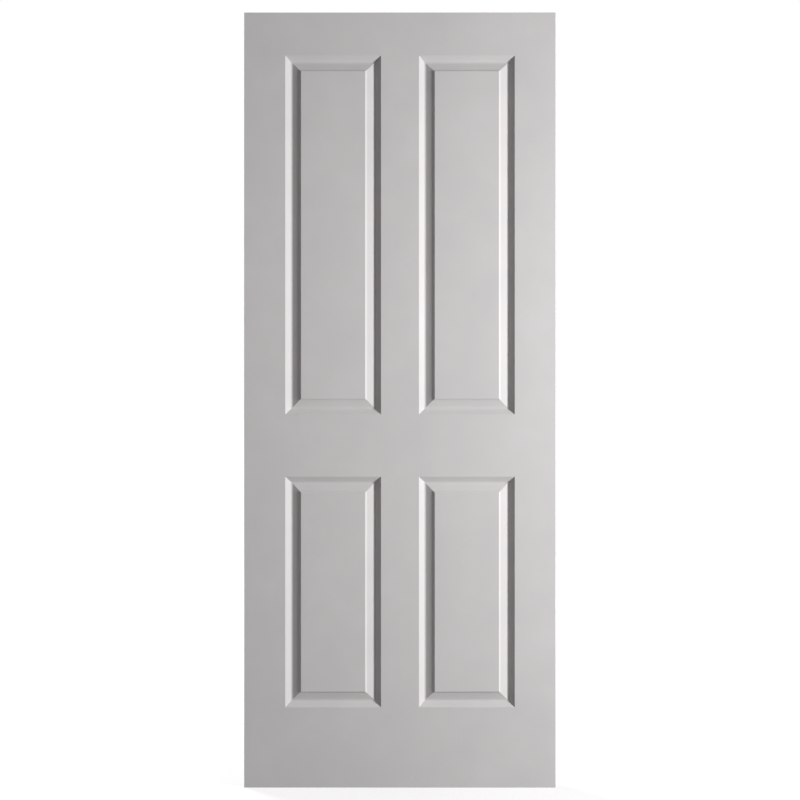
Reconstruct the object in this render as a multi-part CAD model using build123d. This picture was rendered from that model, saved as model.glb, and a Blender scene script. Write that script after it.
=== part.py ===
from build123d import *
import math
import os

# Interior door leaf with four moulded panels: two pressed fibreboard skins over a softwood edge
# frame, with paper honeycomb in the pockets between the mouldings.
# Millimetres. Z is up, X runs across the leaf and the front skin faces -Y.
# The origin is at the middle of the bottom edge.

# Leaf
leaf_width = 820
leaf_height = 2040
leaf_thickness = 35

# Flat bands of the skins, between the panels' outlines
stile_band = 108
mullion_band = 100
top_rail_band = 113
lock_rail_band = 164
bottom_rail_band = 211
lower_panel_height = 607

# Pressed skins
skin_thickness = 3.2
edge_easing = 0.8

# Moulding round each panel, from the flat band inwards: slope, valley, bevel, shoulder, field
moulding_width = 41.5
shoulder_width = 4.5
slope_angle = 36
bevel_angle = 20.5
shoulder_angle = 38
arris_radius = 1
valley_radius = 7.5
crease_radius = 2

# Softwood edge frame
stile_width = 35
top_rail_width = 35
bottom_rail_width = 55
lock_block_length = 400
lock_block_height = 1000

# Paper honeycomb, sized by the cells that it is expanded to
pad_margin = 3
paper_thickness = 0.6
cell_depth = 38
cell_length = 125
cell_flat_share = 1 / 3

# Corrugated steel strips across the corner joints
fastener_length = 25
fastener_depth = 10
fastener_thickness = 0.8
fastener_wave_depth = 3
fastener_wave_length = 6.25
fastener_flat_share = 1 / 4

# Places that several pieces share
half_width = leaf_width / 2
half_thickness = leaf_thickness / 2
frame_thickness = leaf_thickness - 2 * skin_thickness
stile_inside = half_width - stile_width
side_pocket_inside = half_width - stile_band + pad_margin
panel_width = half_width - stile_band - mullion_band / 2
panel_centre_x = (mullion_band + panel_width) / 2
upper_panel_height = (
    leaf_height - bottom_rail_band - lower_panel_height - lock_rail_band - top_rail_band
)
lower_panel_top = bottom_rail_band + lower_panel_height
upper_panel_bottom = lower_panel_top + lock_rail_band
upper_panel_top = upper_panel_bottom + upper_panel_height
lower_panel_centre_z = bottom_rail_band + lower_panel_height / 2
upper_panel_centre_z = upper_panel_bottom + upper_panel_height / 2
top_rail_bottom = leaf_height - top_rail_width
lock_block_bottom = lock_block_height - lock_block_length / 2
lock_block_top = lock_block_height + lock_block_length / 2

# Every panel as its centre and its outline's size
panels = [
    (side * panel_centre_x, centre_z, panel_height)
    for centre_z, panel_height in (
        (lower_panel_centre_z, lower_panel_height),
        (upper_panel_centre_z, upper_panel_height),
    )
    for side in (-1, 1)
]


def tangent(angle):
    return math.tan(math.radians(angle))


def moulding_section():
    """The pressed sheet across one moulding: X runs from the flat band to the field, Y is outwards."""
    crease_x = moulding_width - shoulder_width
    crease_y = -shoulder_width * tangent(shoulder_angle)
    rise_to_crease = crease_x * tangent(bevel_angle)
    valley_x = (rise_to_crease - crease_y) / (tangent(slope_angle) + tangent(bevel_angle))
    valley_y = -valley_x * tangent(slope_angle)
    face_line = FilletPolyline(
        (-skin_thickness, 0),
        (0, 0),
        (valley_x, valley_y),
        (crease_x, crease_y),
        (moulding_width, 0),
        (moulding_width + skin_thickness, 0),
        radius=[arris_radius, valley_radius, crease_radius, arris_radius],
    )
    outline = offset(face_line, skin_thickness, kind=Kind.INTERSECTION, side=Side.RIGHT)
    return make_face(outline)


def moulding_ring(panel_height):
    """The moulding carried round a panel's outline, mitred at the corners."""
    section = Plane((-panel_width / 2, 0, 0), x_dir=(1, 0, 0), z_dir=(0, -1, 0)) * moulding_section()
    path = Polyline((-panel_width / 2, 0), (-panel_width / 2, -panel_height / 2), (0, -panel_height / 2))
    quarter = sweep(section, path=path, transition=Transition.RIGHT)
    half = quarter + mirror(quarter, about=Plane.YZ)
    return half + mirror(half, about=Plane.XZ)


def skin():
    """One pressed skin, lying with its face at Z zero and its foot along the X axis."""
    sheet = Pos(0, leaf_height / 2) * Rectangle(leaf_width, leaf_height)
    sheet = extrude(sheet, -skin_thickness)
    face_edges = sheet.faces().sort_by(Axis.Z)[-1].edges()
    sheet = chamfer(face_edges, edge_easing)
    field_inset = 2 * (moulding_width + skin_thickness)
    pieces = []
    for centre_x, centre_z, panel_height in panels:
        place = Pos(centre_x, centre_z)
        opening = Rectangle(panel_width + 2 * skin_thickness, panel_height + 2 * skin_thickness)
        sheet -= extrude(place * opening, -skin_thickness)
        field = Rectangle(panel_width - field_inset, panel_height - field_inset)
        pieces.append(place * extrude(field, -skin_thickness))
        pieces.append(place * moulding_ring(panel_height))
    return sheet + pieces


def front_skin():
    face_plane = Plane((0, -half_thickness, 0), x_dir=(1, 0, 0), z_dir=(0, -1, 0))
    return face_plane * skin()


def back_skin():
    return Rot(0, 0, 180) * front_skin()


def bar(left, right, bottom, top, thickness):
    """A straight length of timber given by its edges, centred in the leaf's thickness."""
    return Pos((left + right) / 2, 0, (bottom + top) / 2) * Box(right - left, thickness, top - bottom)


def folded_strip(length, waves, depth, thickness, flat_share):
    """A strip folded into waves, seen on edge: flats on alternate sides, joined by slants."""
    wave_length = length / waves
    flat = wave_length * flat_share
    slant = wave_length / 2 - flat
    rise = depth - thickness
    mitre = thickness / 2 * math.tan(math.atan2(rise, slant) / 2)
    lower_side = [(0, 0)]
    upper_side = [(0, thickness)]
    for wave in range(waves):
        start = wave * wave_length
        climb_start = start + flat / 2
        climb_end = climb_start + slant
        fall_start = climb_end + flat
        fall_end = fall_start + slant
        for points, low, shift in ((lower_side, 0, mitre), (upper_side, thickness, -mitre)):
            points.append((climb_start + shift, low))
            points.append((climb_end + shift, low + rise))
            points.append((fall_start - shift, low + rise))
            points.append((fall_end - shift, low))
    lower_side.append((length, 0))
    upper_side.append((length, thickness))
    return make_face(Polyline(*lower_side, *reversed(upper_side), close=True))


def honeycomb_sheet(length, depth):
    """Expanded honeycomb seen through its cells: strips side by side, glued flat to flat."""
    strips = max(1, round(depth / cell_depth))
    waves = max(1, round(length / cell_length))
    strip_depth = depth / strips
    strip = folded_strip(length, waves, strip_depth, paper_thickness, cell_flat_share)
    turned_strip = Pos(0, strip_depth) * mirror(strip, about=Plane.XZ)
    sheet = Sketch()
    for number in range(strips):
        sheet += Pos(0, number * strip_depth) * (turned_strip if number % 2 else strip)
    return sheet


def honeycomb_pad(left, right, bottom, top, thickness):
    """A honeycomb pad that fills a pocket, with its strips along the pocket's longer side."""
    width = right - left
    height = top - bottom
    if height > width:
        plane = Plane((left, 0, bottom), x_dir=(0, 0, 1), z_dir=(0, 1, 0))
        sheet = honeycomb_sheet(height, width)
    else:
        plane = Plane((left, 0, bottom), x_dir=(1, 0, 0), z_dir=(0, -1, 0))
        sheet = honeycomb_sheet(width, height)
    return extrude(plane * sheet, thickness / 2, both=True)


def corner_fasteners():
    """Two corrugated strips at each corner, driven in flush from the front and from the back."""
    waves = max(1, round(fastener_length / fastener_wave_length))
    strip = folded_strip(
        fastener_length, waves, fastener_wave_depth, fastener_thickness, fastener_flat_share
    )
    strip = Pos(-fastener_length / 2, -fastener_wave_depth / 2) * strip
    rail_heights = (bottom_rail_width / 2, leaf_height - top_rail_width / 2)
    fasteners = []
    for height in rail_heights:
        for side in (-1, 1):
            for face in (-1, 1):
                plane = Plane(
                    (side * stile_inside, face * frame_thickness / 2, height),
                    x_dir=(1, 0, 0),
                    z_dir=(0, -face, 0),
                )
                fasteners.append(extrude(plane * strip, fastener_depth))
    return Compound(children=fasteners)


def edge_frame(fasteners):
    """Stiles and rails, with the slots that the corner fasteners have cut in them."""
    frame = {
        "left_stile": bar(-half_width, -stile_inside, 0, leaf_height, frame_thickness),
        "right_stile": bar(stile_inside, half_width, 0, leaf_height, frame_thickness),
        "bottom_rail": bar(-stile_inside, stile_inside, 0, bottom_rail_width, frame_thickness),
        "top_rail": bar(-stile_inside, stile_inside, top_rail_bottom, leaf_height, frame_thickness),
    }
    for name, timber in frame.items():
        frame[name] = timber - list(fasteners.children)
    return frame


def lock_blocks():
    left = bar(
        -stile_inside, -side_pocket_inside, lock_block_bottom, lock_block_top, frame_thickness
    )
    return {"left_lock_block": left, "right_lock_block": mirror(left, about=Plane.YZ)}


def side_pads():
    """Pads between the stiles and the panels, above and below the lock blocks."""
    pads = {}
    pockets = {
        "lower": (bottom_rail_width, lock_block_bottom),
        "upper": (lock_block_top, top_rail_bottom),
    }
    for level, (bottom, top) in pockets.items():
        pad = honeycomb_pad(-stile_inside, -side_pocket_inside, bottom, top, frame_thickness)
        pads[f"{level}_left_side_pad"] = pad
        pads[f"{level}_right_side_pad"] = mirror(pad, about=Plane.YZ)
    return pads


def rail_pads():
    """Pads behind the flat bands above, between and below the panels."""
    pockets = {
        "bottom_rail_pad": (bottom_rail_width, bottom_rail_band - pad_margin),
        "lock_rail_pad": (lower_panel_top + pad_margin, upper_panel_bottom - pad_margin),
        "top_rail_pad": (upper_panel_top + pad_margin, top_rail_bottom),
    }
    return {
        name: honeycomb_pad(-side_pocket_inside, side_pocket_inside, bottom, top, frame_thickness)
        for name, (bottom, top) in pockets.items()
    }


def mullion_pads():
    """Pads behind the upright band between the panels."""
    reach = mullion_band / 2 - pad_margin
    pockets = {
        "lower_mullion_pad": (bottom_rail_band - pad_margin, lower_panel_top + pad_margin),
        "upper_mullion_pad": (upper_panel_bottom - pad_margin, upper_panel_top + pad_margin),
    }
    return {
        name: honeycomb_pad(-reach, reach, bottom, top, frame_thickness)
        for name, (bottom, top) in pockets.items()
    }


def panel_pads():
    """Pads behind the raised fields of the four panels."""
    inset = moulding_width + pad_margin
    pads = {}
    for centre_x, centre_z, panel_height in panels:
        level = "lower" if centre_z == lower_panel_centre_z else "upper"
        side = "left" if centre_x < 0 else "right"
        reach_x = panel_width / 2 - inset
        reach_z = panel_height / 2 - inset
        pads[f"{level}_{side}_panel_pad"] = honeycomb_pad(
            centre_x - reach_x,
            centre_x + reach_x,
            centre_z - reach_z,
            centre_z + reach_z,
            frame_thickness,
        )
    return pads


fasteners = corner_fasteners()
nodes = {
    "front_skin": front_skin(),
    "back_skin": back_skin(),
    "corner_fasteners": fasteners,
    **edge_frame(fasteners),
    **lock_blocks(),
    **side_pads(),
    **rail_pads(),
    **mullion_pads(),
    **panel_pads(),
}

os.makedirs("parts", exist_ok=True)
for name, solid in nodes.items():
    export_step(solid, f"parts/{name}.step")
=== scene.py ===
import math

import bmesh
import bpy
from mathutils import Matrix, Vector


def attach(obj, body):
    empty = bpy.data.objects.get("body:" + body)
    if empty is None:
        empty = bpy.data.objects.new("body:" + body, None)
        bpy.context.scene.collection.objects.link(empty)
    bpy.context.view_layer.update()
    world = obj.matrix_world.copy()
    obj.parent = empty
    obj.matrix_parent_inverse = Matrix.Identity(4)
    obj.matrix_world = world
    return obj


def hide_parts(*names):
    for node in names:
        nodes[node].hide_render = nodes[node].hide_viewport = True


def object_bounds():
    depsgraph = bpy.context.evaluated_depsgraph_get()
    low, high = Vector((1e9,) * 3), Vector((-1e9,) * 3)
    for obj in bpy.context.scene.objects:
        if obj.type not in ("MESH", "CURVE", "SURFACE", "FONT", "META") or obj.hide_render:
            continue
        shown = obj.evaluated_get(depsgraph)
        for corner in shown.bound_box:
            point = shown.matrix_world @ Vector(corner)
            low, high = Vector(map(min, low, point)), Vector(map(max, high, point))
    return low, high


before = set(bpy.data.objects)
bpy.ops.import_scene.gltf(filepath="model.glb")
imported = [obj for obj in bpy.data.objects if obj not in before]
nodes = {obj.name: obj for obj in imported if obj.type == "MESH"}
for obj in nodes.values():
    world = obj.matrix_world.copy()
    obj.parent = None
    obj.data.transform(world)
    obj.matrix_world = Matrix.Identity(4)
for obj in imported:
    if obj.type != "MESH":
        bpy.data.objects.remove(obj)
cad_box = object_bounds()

# Metres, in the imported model's frame: Z up, X across the leaf, the front face towards -Y.
# The stiles lie against the skins, so where a stile begins gives the front skin's thickness.
leaf_low, leaf_high = cad_box
leaf_width = leaf_high.x - leaf_low.x
leaf_height = leaf_high.z - leaf_low.z
front_face = leaf_low.y
stile_front = nodes["left_stile"].bound_box[0][1]
skin_thickness = stile_front - front_face

# Flat bands round the panels
stile_band = 0.108
mullion_band = 0.100
top_rail_band = 0.113
lock_rail_band = 0.164
bottom_rail_band = 0.211
lower_panel_height = 0.607

# Moulding round each panel: slope, valley, bevel, shoulder, field
moulding_width = 0.0415
shoulder_width = 0.0045
slope_angle = math.radians(36)
bevel_angle = math.radians(20.5)
shoulder_angle = math.radians(38)
arris_radius = 0.001
valley_radius = 0.0075
crease_radius = 0.002
edge_easing = 0.0008
arc_steps = 8

# Camera, square on to the leaf as in the photograph, whose size and leaf width are in pixels
image_size = 800
leaf_pixels = 311.55
camera_distance = 3.1
sensor_width = 36

# Lamps and surroundings: the key from the right of the front face, the other from behind on the left
key_right = 3.2
key_before = 1.7
key_height = 0.95
key_aim_height = 1.34
key_place = Vector((key_right, front_face - key_before, key_height))
key_aim = Vector((0, front_face, key_aim_height))
key_size = 0.5
key_spread = math.radians(142)
key_colour = (0.985, 1, 1)
key_power = 118
back_left = 2.6
back_behind = 2.2
back_height = 3.0
back_aim_height = 1.2
back_place = Vector((-back_left, leaf_high.y + back_behind, back_height))
back_aim = Vector((0, leaf_high.y, back_aim_height))
back_size = 1.2
back_spread = math.radians(180)
back_colour = (1, 1, 1)
back_power = 140
ambient_colour = (1, 0.985, 0.995, 1)
ambient_strength = 0.31
white = (1, 1, 1, 1)

# Floor, which glows more with distance from the leaf's foot and is darker to what it lights
floor_reach = 60
floor_drop = 0.0004
floor_colour = (0.3, 0.3, 0.3, 1)
floor_bounce = (0.06, 0.06, 0.06, 1)
floor_glow_near = 0.70
floor_glow_reach = 3.0

# Most of a noise texture's values lie in this span
noise_span = (0.3, 0.7)


def node(tree, kind, settings=None, **inputs):
    """Adds a shader node, with its settings and the values of its unlinked inputs."""
    made = tree.nodes.new("ShaderNode" + kind)
    for name, value in (settings or {}).items():
        setattr(made, name, value)
    for name, value in inputs.items():
        made.inputs[name.replace("_", " ")].default_value = value
    return made


def maths(tree, operation, *terms):
    """Adds a Math node. A term is a number or another node's output."""
    made = node(tree, "Math", {"operation": operation})
    for socket, term in zip(made.inputs, terms):
        if isinstance(term, (int, float)):
            socket.default_value = term
        else:
            tree.links.new(term, socket)
    return made.outputs[0]


def ramp(tree, source, span, colours):
    """Adds a colour ramp, with its colours evenly spaced over a span of the source's values."""
    low, high = span
    made = node(tree, "ValToRGB")
    elements = made.color_ramp.elements
    while len(elements) < len(colours):
        elements.new(1)
    for number, (element, colour) in enumerate(zip(elements, colours)):
        element.position = low + (high - low) * number / (len(colours) - 1)
        element.color = (*colour, 1)
    tree.links.new(source, made.inputs["Fac"])
    return made.outputs["Color"]


def stretched(tree, source, span):
    """Spreads a value from 0 to 1 over a span."""
    low, high = span
    made = node(tree, "MapRange", To_Min=low, To_Max=high)
    tree.links.new(source, made.inputs["Value"])
    return made.outputs["Result"]


def noise(tree, place, size, detail=3, roughness=0.55):
    """Adds a noise texture over a place, with blotches of about this size."""
    made = node(tree, "TexNoise", Scale=1 / size, Detail=detail, Roughness=roughness)
    tree.links.new(place, made.inputs["Vector"])
    return made.outputs["Fac"]


def bump(tree, relief, height, strength, below=None):
    """Adds a bump of a height over a relief from 0 to 1, on top of another bump if one is given."""
    made = node(tree, "Bump", Strength=strength, Distance=height)
    tree.links.new(relief, made.inputs["Height"])
    if below is not None:
        tree.links.new(below, made.inputs["Normal"])
    return made.outputs["Normal"]


def new_material(name):
    """An empty material with its surface shader, and the place of each point on the object."""
    material = bpy.data.materials.new(name)
    material.use_nodes = True
    tree = material.node_tree
    shader = tree.nodes["Principled BSDF"]
    place = node(tree, "TexCoord").outputs["Object"]
    return material, tree, shader, place


def primer():
    """Pale grey satin primer, sprayed on smooth pressed board."""
    cloud_size = 0.14
    patch_size = 0.045
    wave_size = 0.0625
    wave_height = 0.0006
    peel_size = 0.0019
    peel_height = 0.00006
    roughness_span = (0.58, 0.68)
    tones = [(0.605, 0.583, 0.588), (0.625, 0.600, 0.598), (0.643, 0.617, 0.619)]

    material, tree, shader, place = new_material("primer")
    clouds = noise(tree, place, cloud_size, detail=6, roughness=0.62)
    tree.links.new(ramp(tree, clouds, noise_span, tones), shader.inputs["Base Color"])
    patches = noise(tree, place, patch_size)
    tree.links.new(stretched(tree, patches, roughness_span), shader.inputs["Roughness"])
    shader.inputs["Diffuse Roughness"].default_value = 0.2
    shader.inputs["Specular IOR Level"].default_value = 0.1
    waves = bump(tree, noise(tree, place, wave_size, detail=1), wave_height, strength=0.25)
    peel = bump(tree, noise(tree, place, peel_size, detail=2), peel_height, strength=0.5, below=waves)
    tree.links.new(peel, shader.inputs["Normal"])
    return material


def raw_board():
    """The skin's cut edge: brown pressed fibre with flecks."""
    fleck_size = 0.0011
    fleck_height = 0.0002
    tones = [(0.20, 0.125, 0.075), (0.34, 0.225, 0.14)]

    material, tree, shader, place = new_material("raw_board")
    flecks = noise(tree, place, fleck_size, detail=4, roughness=0.7)
    tree.links.new(ramp(tree, flecks, noise_span, tones), shader.inputs["Base Color"])
    shader.inputs["Roughness"].default_value = 0.85
    shader.inputs["Specular IOR Level"].default_value = 0.2
    tree.links.new(bump(tree, flecks, fleck_height, strength=0.5), shader.inputs["Normal"])
    return material


def along_grain(tree, place, along, stretch):
    """A place with its distances along the grain shortened, so that a texture on it runs with the grain."""
    shares = (1, 1, 1 / stretch) if along == "Z" else (1 / stretch, 1, 1)
    made = node(tree, "Mapping", Scale=shares)
    tree.links.new(place, made.inputs["Vector"])
    return made.outputs["Vector"]


def stick_chances(tree, length, depth, seed):
    """Three chance values for each stick of a timber that is finger-jointed from short sticks."""
    stick_length = 0.38
    finger_pitch = 0.004
    finger_slope = 5

    fingers = maths(tree, "PINGPONG", depth, finger_pitch / 2)
    joint_line = maths(tree, "MULTIPLY_ADD", fingers, finger_slope, length)
    number = maths(tree, "FLOOR", maths(tree, "DIVIDE", joint_line, stick_length))
    chance = node(tree, "TexWhiteNoise", {"noise_dimensions": "1D"})
    tree.links.new(maths(tree, "ADD", number, seed), chance.inputs["W"])
    chances = node(tree, "SeparateColor")
    tree.links.new(chance.outputs["Color"], chances.inputs["Color"])
    return chances.outputs


def growth_rings(tree, place, width, depth, heart_chances, along):
    """Growth rings, from 0 to 1 across each, round a heart that lies outside the stick."""
    heart_near = 0.025
    heart_spread = 0.07
    ring_width = 0.0026
    wander = 0.007
    wander_size = 0.07

    heart_offset = node(tree, "CombineXYZ")
    for way, chance, socket in zip((width, depth), heart_chances, heart_offset.inputs):
        heart = maths(tree, "MULTIPLY_ADD", chance, heart_spread, heart_near)
        tree.links.new(maths(tree, "ADD", way, heart), socket)
    from_heart = node(tree, "VectorMath", {"operation": "LENGTH"})
    tree.links.new(heart_offset.outputs["Vector"], from_heart.inputs[0])
    drift = noise(tree, along_grain(tree, place, along, stretch=10), wander_size, detail=2)
    radius = maths(tree, "MULTIPLY_ADD", drift, wander, from_heart.outputs["Value"])
    return maths(tree, "FRACT", maths(tree, "DIVIDE", radius, ring_width))


def softwood(timber, along):
    """Finger-jointed softwood for one timber, with its grain along an axis."""
    fibre_size = 0.0011
    fibre_height = 0.0003
    stick_share = 0.3
    fibre_share = 0.3
    ring_share = 0.55
    tone_shift = -0.22
    late_wood_power = 3
    tone_span = (0, 0.75)
    tones = [(0.53, 0.395, 0.25), (0.465, 0.33, 0.195), (0.37, 0.245, 0.13)]

    material, tree, shader, place = new_material("softwood_" + timber)
    corners = [Vector(corner) for corner in nodes[timber].bound_box]
    middle = sum(corners, Vector()) / len(corners)
    inside = node(tree, "VectorMath", {"operation": "SUBTRACT"})
    inside.inputs[1].default_value = middle
    tree.links.new(place, inside.inputs[0])
    split = node(tree, "SeparateXYZ")
    tree.links.new(inside.outputs[0], split.inputs[0])
    length = split.outputs[along]
    width = split.outputs["X" if along == "Z" else "Z"]
    depth = split.outputs["Y"]

    # Each timber's place gives it a seed of its own
    *heart_chances, tone_chance = stick_chances(tree, length, depth, seed=sum(middle) / skin_thickness)
    ring = growth_rings(tree, inside.outputs[0], width, depth, heart_chances, along)
    late_wood = maths(tree, "POWER", ring, late_wood_power)
    fibres = noise(tree, along_grain(tree, place, along, stretch=50), fibre_size, roughness=0.7)
    stick_tone = maths(tree, "MULTIPLY_ADD", tone_chance, stick_share, tone_shift)
    streaks = maths(tree, "MULTIPLY_ADD", fibres, fibre_share, stick_tone)
    shade = maths(tree, "MULTIPLY_ADD", late_wood, ring_share, streaks)
    tree.links.new(ramp(tree, shade, tone_span, tones), shader.inputs["Base Color"])
    shader.inputs["Roughness"].default_value = 0.75
    shader.inputs["Specular IOR Level"].default_value = 0.2
    tree.links.new(bump(tree, fibres, fibre_height, strength=0.4), shader.inputs["Normal"])
    return material


def kraft_paper():
    """Brown kraft paper with short fibres."""
    fibre_size = 0.0014
    fibre_height = 0.0002
    tones = [(0.33, 0.21, 0.115), (0.45, 0.31, 0.18)]

    material, tree, shader, place = new_material("kraft_paper")
    fibres = noise(tree, place, fibre_size, detail=5, roughness=0.7)
    tree.links.new(ramp(tree, fibres, noise_span, tones), shader.inputs["Base Color"])
    shader.inputs["Roughness"].default_value = 0.9
    tree.links.new(bump(tree, fibres, fibre_height, strength=0.4), shader.inputs["Normal"])
    return material


def steel():
    """Bright rolled strip steel with fine scratches."""
    scratch_size = 0.0006
    scratch_height = 0.00005
    roughness_span = (0.25, 0.45)
    tones = [(0.48, 0.49, 0.51), (0.58, 0.59, 0.61)]

    material, tree, shader, place = new_material("steel")
    scratches = noise(tree, place, scratch_size, detail=2)
    tree.links.new(ramp(tree, scratches, noise_span, tones), shader.inputs["Base Color"])
    shader.inputs["Metallic"].default_value = 1
    tree.links.new(stretched(tree, scratches, roughness_span), shader.inputs["Roughness"])
    tree.links.new(bump(tree, scratches, scratch_height, strength=0.3), shader.inputs["Normal"])
    return material


def rounded(before, corner, after, radius):
    """Points of an arc that rounds a corner of a line, in order."""
    into = (corner - before).normalized()
    out = (after - corner).normalized()
    turn = math.atan2(into.x * out.y - into.y * out.x, into.dot(out))
    reach = radius * math.tan(abs(turn) / 2)
    start = corner - into * reach
    side = math.copysign(1, turn)
    centre = start + Vector((-into.y, into.x)) * radius * side
    arm = start - centre
    points = []
    for step in range(arc_steps + 1):
        angle = turn * step / arc_steps
        cos = math.cos(angle)
        sin = math.sin(angle)
        points.append(centre + Vector((arm.x * cos - arm.y * sin, arm.x * sin + arm.y * cos)))
    return points


def moulding_corners():
    """Corners of the moulding's line: X runs inwards from the flat band, Y outwards from the face."""
    crease_x = moulding_width - shoulder_width
    crease_y = -shoulder_width * math.tan(shoulder_angle)
    slopes = math.tan(slope_angle) + math.tan(bevel_angle)
    valley_x = (crease_x * math.tan(bevel_angle) - crease_y) / slopes
    return [
        Vector((-skin_thickness, 0)),
        Vector((0, 0)),
        Vector((valley_x, -valley_x * math.tan(slope_angle))),
        Vector((crease_x, crease_y)),
        Vector((moulding_width, 0)),
        Vector((moulding_width + skin_thickness, 0)),
    ]


def set_back(corners, amount):
    """The same line set back from the face, mitred at its corners, without its two ends."""
    line = []
    for before, corner, after in zip(corners, corners[1:], corners[2:]):
        into = (corner - before).normalized()
        out = (after - corner).normalized()
        back = Vector((into.y, -into.x))
        mean = (back + Vector((out.y, -out.x))).normalized()
        line.append(corner + mean * (amount / mean.dot(back)))
    return line


def face_line():
    """The moulding's line on the face, as stretches of points that run smoothly."""
    corners = moulding_corners()
    radii = [arris_radius, valley_radius, crease_radius, arris_radius]
    return [
        rounded(before, corner, after, radius)
        for before, corner, after, radius in zip(corners, corners[1:], corners[2:], radii)
    ]


def hidden_line():
    """The moulding's line on the glued side, rounded in the valley only."""
    arris, valley, crease, field = set_back(moulding_corners(), skin_thickness)
    return [[arris], rounded(arris, valley, crease, valley_radius + skin_thickness), [crease], [field]]


def panel_spans():
    """Left and right of each column of panels, and bottom and top of each row."""
    half_width = leaf_width / 2
    half_mullion = mullion_band / 2
    lower_top = bottom_rail_band + lower_panel_height
    columns = [(stile_band - half_width, -half_mullion), (half_mullion, half_width - stile_band)]
    rows = [(bottom_rail_band, lower_top), (lower_top + lock_rail_band, leaf_height - top_rail_band)]
    return columns, rows


def inset_corners(column, row, inward):
    """Corners of a panel's outline, moved inwards."""
    left, right = column
    bottom, top = row
    return [
        (left + inward, bottom + inward),
        (right - inward, bottom + inward),
        (right - inward, top - inward),
        (left + inward, top - inward),
    ]


class SkinMesh:
    """Builds one pressed skin, face towards -Y, from loops of points that share their corners."""

    # Places of the two finishes in a skin's list of materials
    painted = 0
    raw = 1

    def __init__(self):
        self.mesh = bmesh.new()
        self.columns, self.rows = panel_spans()

    def loop(self, points, depth):
        """New points of the mesh at a depth behind the face."""
        return [self.mesh.verts.new((x, front_face + depth, z)) for x, z in points]

    def face(self, corners, turned):
        """A new face of the mesh, turned round if it looks backwards."""
        return self.mesh.faces.new(reversed(corners) if turned else corners)

    def band(self, outer, inner, turned, finish=painted, smooth=True):
        """Faces between two loops of as many points, with sharp edges across the band."""
        count = len(outer)
        for here in range(count):
            there = (here + 1) % count
            face = self.face([outer[here], outer[there], inner[there], inner[here]], turned)
            face.material_index = finish
            face.smooth = smooth
            self.mesh.edges.get((outer[here], inner[here])).smooth = False

    def crease(self, loop):
        """Makes a loop's own edges sharp."""
        for here, there in zip(loop, loop[1:] + loop[:1]):
            self.mesh.edges.get((here, there)).smooth = False

    def grid(self, inset, widen):
        """Rows of points where the lines of the leaf's edges, inset, and of the panels, widened, cross."""
        half_width = leaf_width / 2
        across = [inset - half_width]
        for left, right in self.columns:
            across += [left - widen, right + widen]
        across.append(half_width - inset)
        up = [inset]
        for bottom, top in self.rows:
            up += [bottom - widen, top + widen]
        up.append(leaf_height - inset)
        return [[(x, z) for x in across] for z in up]

    def outline(self, rows):
        """The outermost items of rows, in order round them."""
        inner = rows[1:-1]
        right = [row[-1] for row in inner]
        left = [row[0] for row in reversed(inner)]
        return [*rows[0], *right, *reversed(rows[-1]), *left]

    def flat(self, inset, widen, depth, turned):
        """The flat bands round the panels. Returns their outer loop and the four panels' loops."""
        rows = [self.loop(points, depth) for points in self.grid(inset, widen)]
        panel_loops = {}
        for number, (lower, upper) in enumerate(zip(rows, rows[1:])):
            for column in range(len(lower) - 1):
                corners = [lower[column], lower[column + 1], upper[column + 1], upper[column]]
                # Panels lie where the second and fourth rows and columns of the grid's cells cross
                if number % 2 and column % 2:
                    panel_loops[number // 2, column // 2] = corners
                else:
                    self.face(corners, turned)
        return self.outline(rows), panel_loops

    def moulding(self, loop, column, row, stretches, turned):
        """The moulding and the field inside one panel's loop, sharp where a smooth stretch ends."""
        points = [point for stretch in stretches for point in stretch]
        sharp = [end for stretch in stretches for end in (stretch[0], stretch[-1])]
        self.crease(loop)
        for point in points[1:]:
            ring = self.loop(inset_corners(column, row, point.x), -point.y)
            self.band(loop, ring, turned)
            if point in sharp:
                self.crease(ring)
            loop = ring
        self.face(loop, turned)

    def side(self, stretches, inset, depth, turned):
        """One side of the sheet: flat bands, mouldings and fields. Returns its outer loop."""
        widen = -stretches[0][0].x
        outer, panel_loops = self.flat(inset, widen, depth, turned)
        for (row, column), loop in panel_loops.items():
            self.moulding(loop, self.columns[column], self.rows[row], stretches, turned)
        return outer

    def edge(self, outer, hidden, widen):
        """The eased arris, and the cut edge down to the glued side."""
        rim = self.loop(self.outline(self.grid(0, widen)), edge_easing)
        self.band(outer, rim, turned=True, smooth=False)
        self.band(rim, hidden, turned=True, finish=self.raw, smooth=False)

    def build(self):
        """The whole skin: its face, its glued side and the edge between them."""
        face = face_line()
        outer = self.side(face, edge_easing, 0, turned=False)
        hidden = self.side(hidden_line(), 0, skin_thickness, turned=True)
        self.edge(outer, hidden, -face[0][0].x)
        return self.mesh


def skin(name, side, finishes):
    """One pressed skin as a piece of the object, half turned about Z for the back if side is -1."""
    shape = SkinMesh().build()
    shape.transform(Matrix.Diagonal((side, side, 1, 1)))
    mesh = bpy.data.meshes.new(name)
    shape.to_mesh(mesh)
    shape.free()
    for finish in finishes:
        mesh.materials.append(finish)
    piece = bpy.data.objects.new(name, mesh)
    bpy.context.scene.collection.objects.link(piece)
    return piece


def dress_node(name, material):
    """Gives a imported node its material."""
    for slot in nodes[name].material_slots:
        slot.material = material


def seen_directly(tree):
    """One where a ray comes from the eye, or by way of a reflection or through glass."""
    path = node(tree, "LightPath")
    direct = maths(tree, "MAXIMUM", path.outputs["Is Camera Ray"], path.outputs["Is Glossy Ray"])
    return maths(tree, "MAXIMUM", direct, path.outputs["Is Transmission Ray"])


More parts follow.
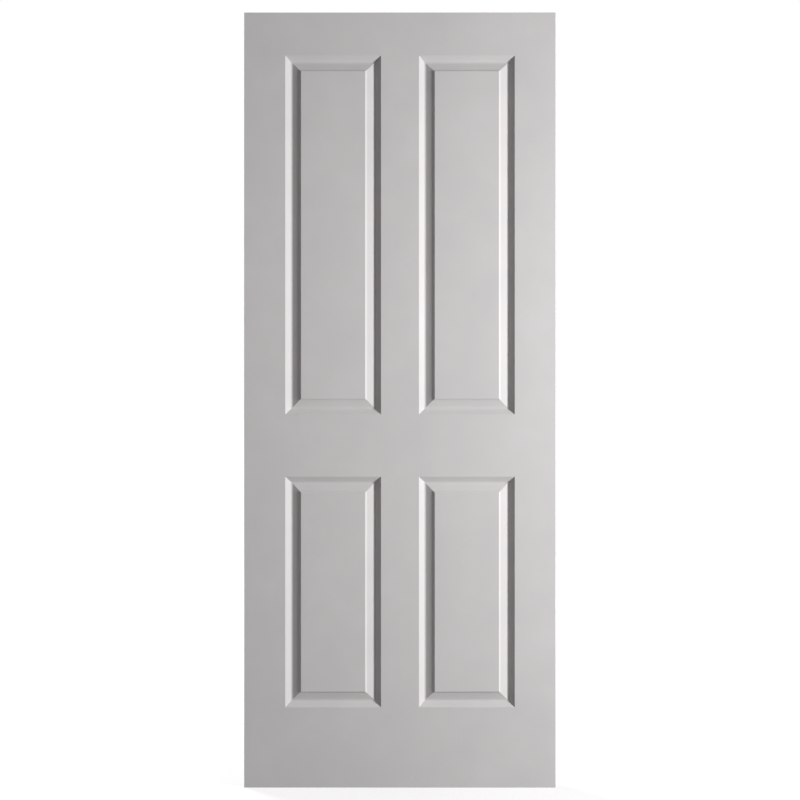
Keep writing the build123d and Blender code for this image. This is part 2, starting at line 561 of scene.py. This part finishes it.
def floor_finish():
    """White to the eye, with the shadows that fall on it, and dark grey to what it lights."""
    material = bpy.data.materials.new("floor")
    material.use_nodes = True
    tree = material.node_tree
    tree.nodes.remove(tree.nodes["Principled BSDF"])
    matt = node(tree, "BsdfDiffuse", Color=floor_colour)
    glow = node(tree, "Emission", Color=white)
    away = node(tree, "VectorMath", {"operation": "LENGTH"})
    tree.links.new(node(tree, "TexCoord").outputs["Object"], away.inputs[0])
    rise = node(tree, "MapRange", From_Max=floor_glow_reach, To_Min=floor_glow_near)
    tree.links.new(away.outputs["Value"], rise.inputs["Value"])
    tree.links.new(rise.outputs["Result"], glow.inputs["Strength"])
    seen = node(tree, "AddShader")
    tree.links.new(matt.outputs[0], seen.inputs[0])
    tree.links.new(glow.outputs[0], seen.inputs[1])
    choice = node(tree, "MixShader")
    tree.links.new(seen_directly(tree), choice.inputs[0])
    tree.links.new(node(tree, "BsdfDiffuse", Color=floor_bounce).outputs[0], choice.inputs[1])
    tree.links.new(seen.outputs[0], choice.inputs[2])
    tree.links.new(choice.outputs[0], tree.nodes["Material Output"].inputs["Surface"])
    return material


def floor():
    """A plain floor just under the leaf, far out to all sides."""
    mesh = bpy.data.meshes.new("floor")
    corners = [(-1, -1), (1, -1), (1, 1), (-1, 1)]
    places = [(x * floor_reach, y * floor_reach, leaf_low.z - floor_drop) for x, y in corners]
    mesh.from_pydata(places, [], [range(len(places))])
    mesh.materials.append(floor_finish())
    piece = bpy.data.objects.new("floor", mesh)
    bpy.context.scene.collection.objects.link(piece)


def surroundings():
    """White to the eye, with a low light all round for the leaf."""
    world = bpy.data.worlds.new("surroundings")
    world.use_nodes = True
    tree = world.node_tree
    around = tree.nodes["Background"]
    around.inputs["Color"].default_value = ambient_colour
    around.inputs["Strength"].default_value = ambient_strength
    behind = node(tree, "Background", Color=white, Strength=1)
    choice = node(tree, "MixShader")
    tree.links.new(seen_directly(tree), choice.inputs[0])
    tree.links.new(around.outputs[0], choice.inputs[1])
    tree.links.new(behind.outputs[0], choice.inputs[2])
    tree.links.new(choice.outputs[0], tree.nodes["World Output"].inputs["Surface"])
    bpy.context.scene.world = world


def soft_lamp(name, place, aim, size, spread, colour, power):
    """A square soft lamp at a place, turned towards its aim."""
    data = bpy.data.lights.new(name, "AREA")
    data.shape = "SQUARE"
    data.size = size
    data.spread = spread
    data.color = colour
    data.energy = power
    lamp = bpy.data.objects.new(name, data)
    lamp.location = place
    lamp.rotation_euler = (aim - place).to_track_quat("-Z", "Y").to_euler()
    bpy.context.scene.collection.objects.link(lamp)


def camera():
    """Square on to the leaf at half its height, with the leaf as large as in the photograph."""
    data = bpy.data.cameras.new("camera")
    data.sensor_width = sensor_width
    seen_width = leaf_width * image_size / leaf_pixels
    data.lens = sensor_width * camera_distance / seen_width
    piece = bpy.data.objects.new("camera", data)
    piece.location = (0, front_face - camera_distance, leaf_height / 2)
    piece.rotation_euler = (math.pi / 2, 0, 0)
    bpy.context.scene.collection.objects.link(piece)
    bpy.context.scene.camera = piece


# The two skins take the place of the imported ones
finishes = [primer(), raw_board()]
for name, side in (("front_skin", 1), ("back_skin", -1)):
    piece = skin("moulded_" + name, side, finishes)
    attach(piece, "root")
    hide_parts(name)

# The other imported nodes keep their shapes
paper = kraft_paper()
strip = steel()
for name in nodes:
    if "stile" in name or "block" in name:
        dress_node(name, softwood(name, "Z"))
    elif name.endswith("rail"):
        dress_node(name, softwood(name, "X"))
    elif name.endswith("pad"):
        dress_node(name, paper)
    elif name == "corner_fasteners":
        dress_node(name, strip)

floor()
surroundings()
soft_lamp("key", key_place, key_aim, key_size, key_spread, key_colour, key_power)
soft_lamp("back", back_place, back_aim, back_size, back_spread, back_colour, back_power)
camera()
bpy.context.scene.view_settings.view_transform = "Standard"
